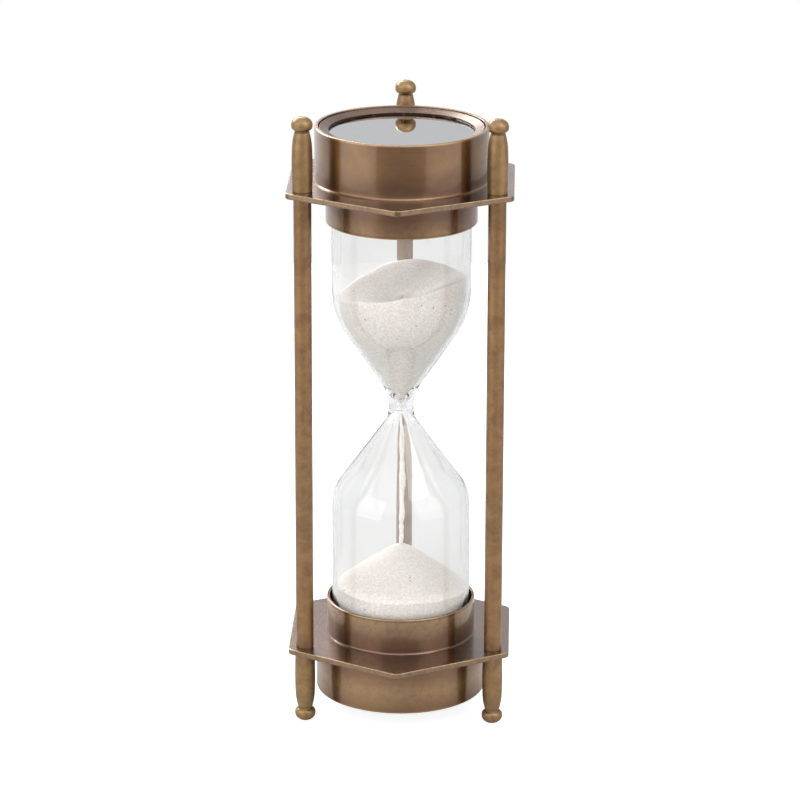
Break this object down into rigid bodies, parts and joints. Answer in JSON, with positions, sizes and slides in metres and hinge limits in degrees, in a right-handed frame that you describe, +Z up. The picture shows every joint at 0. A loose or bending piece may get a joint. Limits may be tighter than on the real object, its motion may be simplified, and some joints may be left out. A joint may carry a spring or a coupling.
{
  "type": "hourglass",
  "caption": "Sand timer: a waisted glass bulb with pale sand, held between hexagonal brass plates by slim rods, with a mirrored drum at each end and turned finials as feet.",
  "frame": {"origin": "middle of the base, level with the lower finial tips that it stands on", "axes": "+Z up along the axis of the glass, +Y towards the back rod, +X to the right with that rod behind the glass"},
  "size_m": [0.0638, 0.0732, 0.18],
  "materials": {
    "plate_brass": "dark antique lacquer, worn bright on its edges",
    "drum_brass": "antique lacquer over fine turning marks",
    "bezel_brass": "antique lacquer, satin",
    "collar_brass": "antique lacquer over fine turning marks",
    "finial_brass": "antique lacquer, worn to golden brass on the buttons",
    "post_brass": "antique lacquer, satin",
    "mirror": "silvered glass, slightly grey",
    "backing_card": "plain grey card",
    "bulb_glass": "clear blown glass",
    "cork": "natural cork",
    "sand": "fine pale sand with a few dark grains"
  },
  "bodies": {
    "root": {"top_plate": "plate_brass", "top_drum": "drum_brass", "top_bezel_ring": "bezel_brass", "top_mirror": "mirror", "top_backing_card": "backing_card", "top_collar": "collar_brass", "top_cork_seat": "cork", "top_finial_left": "finial_brass", "top_finial_right": "finial_brass", "top_finial_back": "finial_brass", "bottom_plate": "plate_brass", "bottom_drum": "drum_brass", "bottom_bezel_ring": "bezel_brass", "bottom_mirror": "mirror", "bottom_backing_card": "backing_card", "bottom_collar": "collar_brass", "bottom_cork_seat": "cork", "bottom_finial_left": "finial_brass", "bottom_finial_right": "finial_brass", "bottom_finial_back": "finial_brass", "post_left": "post_brass", "post_right": "post_brass", "post_back": "post_brass", "glass_bulb": "bulb_glass", "filling_stopper": "cork", "upper_sand": "sand", "lower_sand": "sand", "falling_sand": "sand"}
  },
  "joints": []
}
